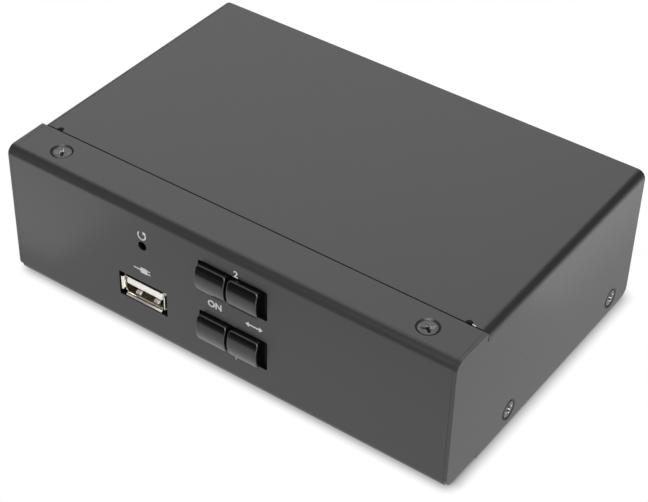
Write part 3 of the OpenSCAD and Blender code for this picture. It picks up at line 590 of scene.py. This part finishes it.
LIP_SCREW_X = 53.2
LIP_SCREW_Y = FRONT_Y + 6.65
SIDE_SCREW_Z = BASE_Z + 4.5
SIDE_SCREW_Y = (FRONT_Y + 26.8, REAR_Y - 9.4)
LIP_SCREW_TURNS = (84, 87)
SIDE_SCREW_TURNS = (54, 57)
lip_seats = []
side_seats = []
for sign, lip_turn in zip((-1, 1), LIP_SCREW_TURNS):
    lip_seats.append(((sign * LIP_SCREW_X, LIP_SCREW_Y, TOP_Z - HEAD_SINK), (0, 0, 1), lip_turn))
    for y, turn in zip(SIDE_SCREW_Y, SIDE_SCREW_TURNS):
        side_seats.append(((sign * (HALF_W - SIDE_HEAD_SINK), y, SIDE_SCREW_Z), (sign, 0, 0), turn))
lip_looks = [SCREW, RECESS, DULL_BLACK_AND_SHADE]
side_looks = [SIDE_SCREW, SIDE_RECESS, DULL_BLACK_AND_SHADE]
make_screws("lip_screw_set", "lip_screws", lip_seats, LIP_HEAD_R, LIP_RECESS_D, lip_looks)
make_screws("side_screw_set", "side_screws", side_seats, SIDE_HEAD_R, SIDE_RECESS_D, side_looks)


# Bare steel at the cover's front edge, beside the right relief notch

CHIP_X = (60.45, 61.4)
CHIP_Y = SEAM_Y + 0.4
CHIP_SIZE = 0.22
CHIP_PROUD = 0.03
CHIP_EDGE = 0.01


def make_bare_edge():
    """A thin strip along the corner of the sheet, where the paint is missing."""
    bm = bmesh.new()
    outline = [(CHIP_Y - CHIP_PROUD, TOP_Z - CHIP_SIZE), (CHIP_Y - CHIP_PROUD, TOP_Z - CHIP_PROUD),
               (CHIP_Y + CHIP_PROUD, TOP_Z + CHIP_PROUD), (CHIP_Y + CHIP_SIZE, TOP_Z + CHIP_PROUD),
               (CHIP_Y + CHIP_SIZE, TOP_Z - CHIP_PROUD), (CHIP_Y + CHIP_PROUD, TOP_Z - CHIP_SIZE)]
    add_prism(bm, outline, *CHIP_X, along_x, CHIP_EDGE)
    finish_piece("bare_edge", bm, [RAW_STEEL])


make_bare_edge()


# Front USB socket

USB_X = -23.2
USB_Z = 13.8
USB_W = 13.1
USB_H = 5.72
USB_WALL = 0.3
USB_CORNER = 0.7
LIP_ROOT = 1.0
LIP_OVERLAP = 0.03
UPPER_LIP_L = 11.6
LOWER_LIP_L = 11.2
SIDE_LIP_L = 4.0
LIP_R = 1.0
LIP_TURN = 62
FLAT_LIP_R = 2.6
FLAT_LIP_TURN = 20
LIP_STEPS = 8
LIP_EDGE = 0.05
LIP_EDGE_ANGLE = 50
# Faces of the lower lip further forward than this carry the painted highlight
LIP_HIGHLIGHT_FROM = 0.76
FINGER_X = (-2.8, 2.9)
FINGER_W = 1.7
FINGER_T = 0.22
FINGER_EDGE = 0.06
FINGER_EDGE_ANGLE = 40
LEG_Y = (7, 10)
LEG_EDGE = 0.05

# Points of a spring finger: how far each lies behind the front panel's face and above the shell's floor
FINGER_COURSE = (
    (9.0, 0.0), (7.0, 0.02), (4.0, 0.5), (2.9, 0.72), (2.3, 0.74), (1.8, 0.6), (1.4, 0.3), (1.25, 0.05),
)
FINGER_LEAN = 0.05

TONGUE_W = 11.1
TONGUE_UP = 0.22
TONGUE_T = 1.84
TONGUE_EDGE = 0.18
BLOCK_L = 4.0
BLOCK_OVERLAP = 0.1
BLOCK_GAP = 0.05
BLOCK_EDGE = 0.2


def add_sleeve(bm, outline, wall, mouth_y, end_y, edge=0.06):
    """A tube along Y with a finely rounded mouth; outline(d) gives its section drawn in by d.

    Its inner wall gets the second look and the rim of its mouth the third.
    """
    towards = edge if end_y > mouth_y else -edge
    course = [(0, end_y), (0, mouth_y + towards), (edge, mouth_y), (wall - edge, mouth_y),
              (wall, mouth_y + towards), (wall, end_y)]
    rings = add_loops(bm, [[(u, y, v) for u, v in outline(d)] for d, y in course], close=True)
    for ring, beyond, look in ((rings[4], rings[5], 1), (rings[2], rings[3], 2)):
        for v in ring:
            for face in v.link_faces:
                if any(corner in beyond for corner in face.verts):
                    face.material_index = look


def add_lip(bm, length, radius, turn, place):
    """A strip of sheet that curls outwards; place(s, o, f) takes length, outward and forward distances."""
    half_t = USB_WALL / 2
    inner = []
    outer = []
    for k in range(LIP_STEPS + 1):
        a = math.radians(turn * k / LIP_STEPS)
        f = radius * math.sin(a)
        o = radius * (1 - math.cos(a)) - half_t
        inner.append((o - half_t * math.cos(a), f + half_t * math.sin(a)))
        outer.append((o + half_t * math.cos(a), f - half_t * math.sin(a)))
    a = math.radians(turn)
    nose = ((inner[-1][0] + outer[-1][0]) / 2 + half_t * math.sin(a),
            (inner[-1][1] + outer[-1][1]) / 2 + half_t * math.cos(a))
    profile = inner + [nose] + outer[::-1]
    half = length / 2
    add_prism(bm, profile, -half, half, lambda o, f, s: place(s, o, f), LIP_EDGE, 2, LIP_EDGE_ANGLE)


def add_finger(bm, x, floor_z):
    """A spring finger that rises from the shell's floor to a rounded hump near the mouth."""
    outline = [(FRONT_Y + back, floor_z + rise) for back, rise in FINGER_COURSE]
    outline += [(y + FINGER_LEAN, z - FINGER_T) for y, z in reversed(outline)]
    half_w = FINGER_W / 2
    add_prism(bm, outline, x - half_w, x + half_w, along_x, FINGER_EDGE, 2, FINGER_EDGE_ANGLE)


def make_front_usb_shell():
    bm = bmesh.new()
    end_y = box_mm("front_usb_shell")[1].y

    def section(d):
        loop = rounded_outline(USB_W - 2 * d, USB_H - 2 * d, USB_CORNER - d)
        return [(USB_X + u, USB_Z + v) for u, v in loop]

    # The sleeve's inner wall gets the darker nickel: painted shade
    add_sleeve(bm, section, USB_WALL, FRONT_Y + LIP_ROOT, end_y)
    sleeve = set(bm.faces)
    root = FRONT_Y + LIP_ROOT + LIP_OVERLAP
    half_w = USB_W / 2
    half_h = USB_H / 2

    def upper(s, o, f):
        return (USB_X + s, root - f, USB_Z + half_h + o)

    def lower(s, o, f):
        return (USB_X + s, root - f, USB_Z - half_h - o)

    def left(s, o, f):
        return (USB_X - half_w - o, root - f, USB_Z + s)

    def right(s, o, f):
        return (USB_X + half_w + o, root - f, USB_Z + s)

    add_lip(bm, UPPER_LIP_L, FLAT_LIP_R, FLAT_LIP_TURN, upper)
    add_lip(bm, LOWER_LIP_L, LIP_R, LIP_TURN, lower)
    add_lip(bm, SIDE_LIP_L, LIP_R, LIP_TURN, left)
    add_lip(bm, SIDE_LIP_L, FLAT_LIP_R, FLAT_LIP_TURN, right)
    lips = set(bm.faces)
    for face in lips - sleeve:
        middle = face.calc_center_median()
        if middle.z < USB_Z - half_h and middle.y < root - LIP_HIGHLIGHT_FROM:
            face.material_index = 2
    for x in FINGER_X:
        add_finger(bm, USB_X + x, USB_Z - half_h + USB_WALL)
    for face in bm.faces:
        if face not in lips:
            face.material_index = 2
    leg_low = box_mm("front_usb_shell")[0].z
    half_t = USB_WALL / 2
    for sign in (-1, 1):
        x = USB_X + sign * (half_w - half_t)
        near = (x - half_t, FRONT_Y + LEG_Y[0], leg_low)
        far = (x + half_t, FRONT_Y + LEG_Y[1], USB_Z)
        add_box(bm, near, far, LEG_EDGE)
    # The mouth's rim, the lower lip's curl and the fingers take the lighter nickel: painted highlight
    looks = [NICKEL, NICKEL_SHADE, NICKEL_HIGHLIGHT]
    finish_piece("front_usb_case", bm, looks, ["front_usb_shell"])


def make_front_usb_insulator():
    """The socket's tongue and the block behind it."""
    low, high = box_mm("front_usb_insulator")
    bm = bmesh.new()
    half_w = TONGUE_W / 2
    block_y = high.y - BLOCK_L
    near = (USB_X - half_w, low.y, USB_Z + TONGUE_UP)
    far = (USB_X + half_w, block_y + BLOCK_OVERLAP, USB_Z + TONGUE_UP + TONGUE_T)
    add_box(bm, near, far, TONGUE_EDGE, 3)
    half_block = USB_W / 2 - USB_WALL - BLOCK_GAP
    near = (USB_X - half_block, block_y, low.z)
    far = (USB_X + half_block, high.y, high.z)
    add_box(bm, near, far, BLOCK_EDGE)
    finish_piece("front_usb_tongue", bm, [WHITE], ["front_usb_insulator"])


make_front_usb_shell()
make_front_usb_insulator()


# Contact strips of the rear video and USB-B sockets

STRIP_T = 0.08
STRIP_BACK = 1.3
STRIP_L = 4.5
VIDEO_TONGUE_T = 1.1
VIDEO_PITCH = 1.0
VIDEO_STRIP_W = 0.5
VIDEO_ROWS = ((1, 10), (-1, 9))
SQUARE_CORE_H = 3.2
SQUARE_PITCH = 2.5
SQUARE_STRIP_W = 0.9
SQUARE_ROWS = ((1, 2), (-1, 2))


def add_strips(bm, shell, core_t, pitch, width, rows):
    """Rows of flat contacts on both faces of the tongue in a socket; each row gives its face and count."""
    low, high = box_mm(shell)
    middle = (low + high) / 2
    for face, count in rows:
        z = middle.z + face * core_t / 2
        for k in range(count):
            x = middle.x + (k - (count - 1) / 2) * pitch
            add_box(bm, (x - width / 2, high.y - STRIP_BACK - STRIP_L, z - STRIP_T / 2),
                    (x + width / 2, high.y - STRIP_BACK, z + STRIP_T / 2), STRIP_T / 4)


def make_rear_contacts():
    bm = bmesh.new()
    for shell in ("video_out_shell", "video_in1_shell", "video_in2_shell"):
        add_strips(bm, shell, VIDEO_TONGUE_T, VIDEO_PITCH, VIDEO_STRIP_W, VIDEO_ROWS)
    for shell in ("usb_in1_shell", "usb_in2_shell"):
        add_strips(bm, shell, SQUARE_CORE_H, SQUARE_PITCH, SQUARE_STRIP_W, SQUARE_ROWS)
    finish_piece("rear_contacts", bm, [GOLD])


make_rear_contacts()


# Print on the front and rear panels: numbers, a switch word and plain signs

PRINT_LIFT = 0.015
PRINT_DEEP = 0.02

# Size of the lettering's font for one millimetre of capital height
FONT_SIZE = 1.38


def print_piece(name, mesh):
    mesh.materials.clear()
    mesh.materials.append(PRINT)
    piece = bpy.data.objects.new(name, mesh)
    bpy.context.scene.collection.objects.link(piece)
    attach(piece, "case")


def print_text(name, words, x, z, height, bold, y=FRONT_Y - PRINT_LIFT, turned=False):
    """Plain lettering that lies flat on the front or rear panel, with its middle at x and z."""
    curve = bpy.data.curves.new(name, "FONT")
    curve.body = words
    curve.align_x = "CENTER"
    curve.align_y = "CENTER"
    curve.size = height * FONT_SIZE * MM
    curve.offset = bold * MM
    curve.extrude = PRINT_DEEP / 2 * MM
    curve.resolution_u = 6
    source = bpy.data.objects.new(name + "_source", curve)
    bpy.context.scene.collection.objects.link(source)
    bpy.context.view_layer.update()
    mesh = bpy.data.meshes.new_from_object(source.evaluated_get(bpy.context.evaluated_depsgraph_get()))
    bpy.data.objects.remove(source)
    bpy.data.curves.remove(curve)
    mesh.name = name
    upright = Matrix.Rotation(math.pi / 2, 4, "X")
    facing = Matrix.Rotation(math.pi, 4, "Z") if turned else Matrix()
    mesh.transform(Matrix.Translation(Vector((x, y, z)) * MM) @ facing @ upright)
    print_piece(name, mesh)


def print_shapes(name, x, z, outlines):
    """Flat signs on the front panel, from closed outlines round the point x, z."""
    bm = bmesh.new()
    y = FRONT_Y - PRINT_LIFT
    for outline in outlines:
        add_prism(bm, outline, y - PRINT_DEEP / 2, y + PRINT_DEEP / 2, lambda u, v, w: (x + u, w, z + v))
    bmesh.ops.recalc_face_normals(bm, faces=bm.faces)
    mesh = bpy.data.meshes.new(name)
    bm.to_mesh(mesh)
    bm.free()
    mesh.transform(Matrix.Scale(MM, 4))
    print_piece(name, mesh)


ARROW_HALF_W = 0.75
TURN_HEAD = 2.4
SWAP_HEAD = 1.0

# Corner of the plug sign's body, and its other lengths as shares of its size
PLUG_CORNER = 0.2
PLUG_BODY_H = 0.8
PRONG_END = 0.95
PRONG_APART = 0.22
LEAD_END = 1.5


def bar(u0, v0, u1, v1):
    return [(u0, v0), (u1, v0), (u1, v1), (u0, v1)]


def arrow_head(u, v, du, dv, size):
    """A triangle with its tip at size along du, dv from the point u, v."""
    half = size * ARROW_HALF_W
    return [(u + du * size, v + dv * size), (u - dv * half, v + du * half), (u + dv * half, v - du * half)]


def turn_sign(radius, stroke, start, end, steps=24):
    """A round arrow: an arc from start to end, in degrees, and its head."""
    angles = [math.radians(start + (end - start) * k / steps) for k in range(steps + 1)]
    outer = [((radius + stroke / 2) * math.cos(a), (radius + stroke / 2) * math.sin(a)) for a in angles]
    inner = [((radius - stroke / 2) * math.cos(a), (radius - stroke / 2) * math.sin(a)) for a in angles]
    c = math.cos(angles[-1])
    s = math.sin(angles[-1])
    head = arrow_head(radius * c, radius * s, -s, c, stroke * TURN_HEAD)
    return [outer + inner[::-1], head]


def swap_sign(half, stroke):
    """Two arrows that point apart."""
    root = half - SWAP_HEAD
    shaft = bar(-root, -stroke / 2, root, stroke / 2)
    return [shaft, arrow_head(root, 0, 1, 0, SWAP_HEAD), arrow_head(-root, 0, -1, 0, SWAP_HEAD)]


def plug_sign(size, stroke):
    """A plain plug with a lead: a body, two prongs and a line."""
    body = rounded_outline(size, size * PLUG_BODY_H, PLUG_CORNER)
    half = stroke / 2
    shapes = [body, bar(-size * LEAD_END, -half, -size / 2, half)]
    for v in (-size * PRONG_APART, size * PRONG_APART):
        shapes.append(bar(size / 2, v - half, size * PRONG_END, v + half))
    return shapes


LETTER_H = 1.9
LETTER_BOLD = 0.07
WORD_H = 1.92
WORD_BOLD = 0.07
SIGN_STROKE = 0.36
SWAP_STROKE = 0.42
SWAP_HALF = 2.5
TURN_R = 1.15
TURN_FROM = 130
TURN_TO = 400
PLUG_SIZE = 2.1

# Middles of the marks on the front panel, and the height of the numbers on the rear one
NUMBER_TWO_AT = (5.45, BASE_Z + 33.5)
NUMBER_ONE_AT = (5.3, BASE_Z + 8.1)
ON_AT = (-0.9, BASE_Z + 20.8)
SWAP_AT = (10.65, BASE_Z + 20.3)
TURN_AT = (-22.7, BASE_Z + 31.3)
PLUG_AT = (-22.6, BASE_Z + 20.4)
INPUT_Z = BASE_Z + 24

print_text("number_two", "2", *NUMBER_TWO_AT, LETTER_H, LETTER_BOLD)
print_text("number_one", "1", *NUMBER_ONE_AT, LETTER_H, LETTER_BOLD)
print_text("on_mark", "ON", *ON_AT, WORD_H, WORD_BOLD)
for number in ("1", "2"):
    pair = ("usb_in" + number + "_shell", "video_in" + number + "_shell")
    middle = sum(box_mm(node)[k].x for node in pair for k in (0, 1)) / 4
    rear_y = REAR_Y + PRINT_LIFT
    print_text("input_" + number, number, middle, INPUT_Z, LETTER_H, LETTER_BOLD, rear_y, True)
print_shapes("swap_mark", *SWAP_AT, swap_sign(SWAP_HALF, SWAP_STROKE))
print_shapes("turn_mark", *TURN_AT, turn_sign(TURN_R, SIGN_STROKE, TURN_FROM, TURN_TO))
print_shapes("plug_mark", *PLUG_AT, plug_sign(PLUG_SIZE, SIGN_STROKE))


# Studio: floor, world and soft lamps, in metres

FLOOR_HALF = 20.0
FLOOR_GREY = (0.8, 0.8, 0.8, 1)

# Distances before the front panel at which the mirrored floor begins to fade and has its far level
LIT_FLOOR = 0.04
DARK_FLOOR = 0.11
FAR_LEVEL = 0.12

# Reach and darkest level of the contact shadow, which is shorter and paler in front
SHADOW_SAMPLES = 16
SHADOW_FULL = 0.3
SHADOW_REACH = 0.0034
SHADOW_LEVEL = 0.18
FRONT_REACH = 0.0023
FRONT_LEVEL = 0.66
FRONT_CHANGE = 0.004

WORLD_LEVEL = 0.02
AIM_Z = 0.02
STRIP_Z = 0.003


def stage_floor():
    """A floor that is white with a contact shadow to the camera and grey to soft light.

    Reflections see it white near the case, and darker further in front.
    """
    bm = bmesh.new()
    half = FLOOR_HALF
    corners = [(-half, -half, 0), (half, -half, 0), (half, half, 0), (-half, half, 0)]
    bm.faces.new([bm.verts.new(c) for c in corners])
    mesh = bpy.data.meshes.new("floor")
    bm.to_mesh(mesh)
    bm.free()
    floor = bpy.data.objects.new("floor", mesh)
    bpy.context.scene.collection.objects.link(floor)
    material = bpy.data.materials.new("floor_white")
    material.use_nodes = True
    tree = material.node_tree
    tree.nodes.clear()
    out = tree.nodes.new("ShaderNodeOutputMaterial")
    path = tree.nodes.new("ShaderNodeLightPath")
    occlusion = tree.nodes.new("ShaderNodeAmbientOcclusion")
    occlusion.samples = SHADOW_SAMPLES
    shade = ranged(tree, occlusion.outputs["AO"], (SHADOW_FULL, 1.0), (SHADOW_LEVEL, 1.0))
    shaded = tree.nodes.new("ShaderNodeEmission")
    tree.links.new(shade.outputs["Result"], shaded.inputs["Strength"])
    plain = tree.nodes.new("ShaderNodeEmission")
    axes = tree.nodes.new("ShaderNodeSeparateXYZ")
    tree.links.new(tree.nodes.new("ShaderNodeTexCoord").outputs["Object"], axes.inputs["Vector"])
    front = FRONT_Y * MM
    for ahead, rest, socket in ((FRONT_REACH, SHADOW_REACH, occlusion.inputs["Distance"]),
                                (FRONT_LEVEL, SHADOW_LEVEL, shade.inputs["To Min"])):
        change = ranged(tree, axes.outputs["Y"], (front, front + FRONT_CHANGE), (ahead, rest))
        tree.links.new(change.outputs["Result"], socket)
    fade = ranged(tree, axes.outputs["Y"], (front - DARK_FLOOR, front - LIT_FLOOR), (FAR_LEVEL, 1.0))
    fade.interpolation_type = "SMOOTHSTEP"
    tree.links.new(fade.outputs["Result"], plain.inputs["Strength"])
    diffuse = tree.nodes.new("ShaderNodeBsdfDiffuse")
    diffuse.inputs["Color"].default_value = FLOOR_GREY
    mirrored = tree.nodes.new("ShaderNodeMath")
    mirrored.operation = "MAXIMUM"
    tree.links.new(path.outputs["Is Glossy Ray"], mirrored.inputs[0])
    tree.links.new(path.outputs["Is Transmission Ray"], mirrored.inputs[1])
    indirect = tree.nodes.new("ShaderNodeMixShader")
    tree.links.new(mirrored.outputs["Value"], indirect.inputs["Fac"])
    tree.links.new(diffuse.outputs["BSDF"], indirect.inputs[1])
    tree.links.new(plain.outputs["Emission"], indirect.inputs[2])
    seen = tree.nodes.new("ShaderNodeMixShader")
    tree.links.new(path.outputs["Is Camera Ray"], seen.inputs["Fac"])
    tree.links.new(indirect.outputs["Shader"], seen.inputs[1])
    tree.links.new(shaded.outputs["Emission"], seen.inputs[2])
    tree.links.new(seen.outputs["Shader"], out.inputs["Surface"])
    mesh.materials.append(material)


def stage_world(level):
    world = bpy.data.worlds.new("studio")
    bpy.context.scene.world = world
    world.use_nodes = True
    back = world.node_tree.nodes["Background"]
    back.inputs["Color"].default_value = (1, 1, 1, 1)
    back.inputs["Strength"].default_value = level


def add_lamp(name, at, facing, size, level):
    """A rectangular lamp at a point, turned to a direction; level is its brightness."""
    data = bpy.data.lights.new(name, "AREA")
    data.shape = "RECTANGLE"
    data.size = size[0]
    data.size_y = size[1]
    data.energy = level * math.pi * size[0] * size[1]
    lamp = bpy.data.objects.new(name, data)
    lamp.location = at
    lamp.rotation_euler = facing.to_track_quat("-Z", "Y").to_euler()
    bpy.context.scene.collection.objects.link(lamp)


def softbox(name, azimuth, elevation, distance, size, level):
    """A lamp that faces the object; azimuth goes from the back to the right."""
    a = math.radians(azimuth)
    e = math.radians(elevation)
    at = Vector((math.sin(a) * math.cos(e), math.cos(a) * math.cos(e), math.sin(e))) * distance
    add_lamp(name, at, Vector((0, 0, AIM_Z)) - at, size, level)


def floor_strip(name, at, size, level):
    """A lamp that lies on the floor and faces up."""
    add_lamp(name, Vector((*at, STRIP_Z)), Vector((0, 0, 1)), size, level)


stage_floor()
stage_world(WORLD_LEVEL)
softbox("back_softbox", -35, 38, 0.9, (0.8, 0.6), 1.66)
softbox("high_softbox", -35, 68, 0.9, (0.8, 0.36), 1.3)
softbox("left_back_softbox", -62, 34, 0.9, (0.4, 0.5), 0.2)
softbox("key_softbox", 145, 45, 0.9, (0.7, 0.6), 5.4)
softbox("front_softbox", 165, 35, 0.9, (0.7, 0.5), 1.1)
softbox("left_softbox", -120, 14, 0.45, (0.25, 0.15), 0.8)
floor_strip("right_strip", (0.12, 0.075), (0.08, 0.1), 0.6)
floor_strip("left_strip", (-0.0915, -0.078), (0.067, 0.06), 0.53)
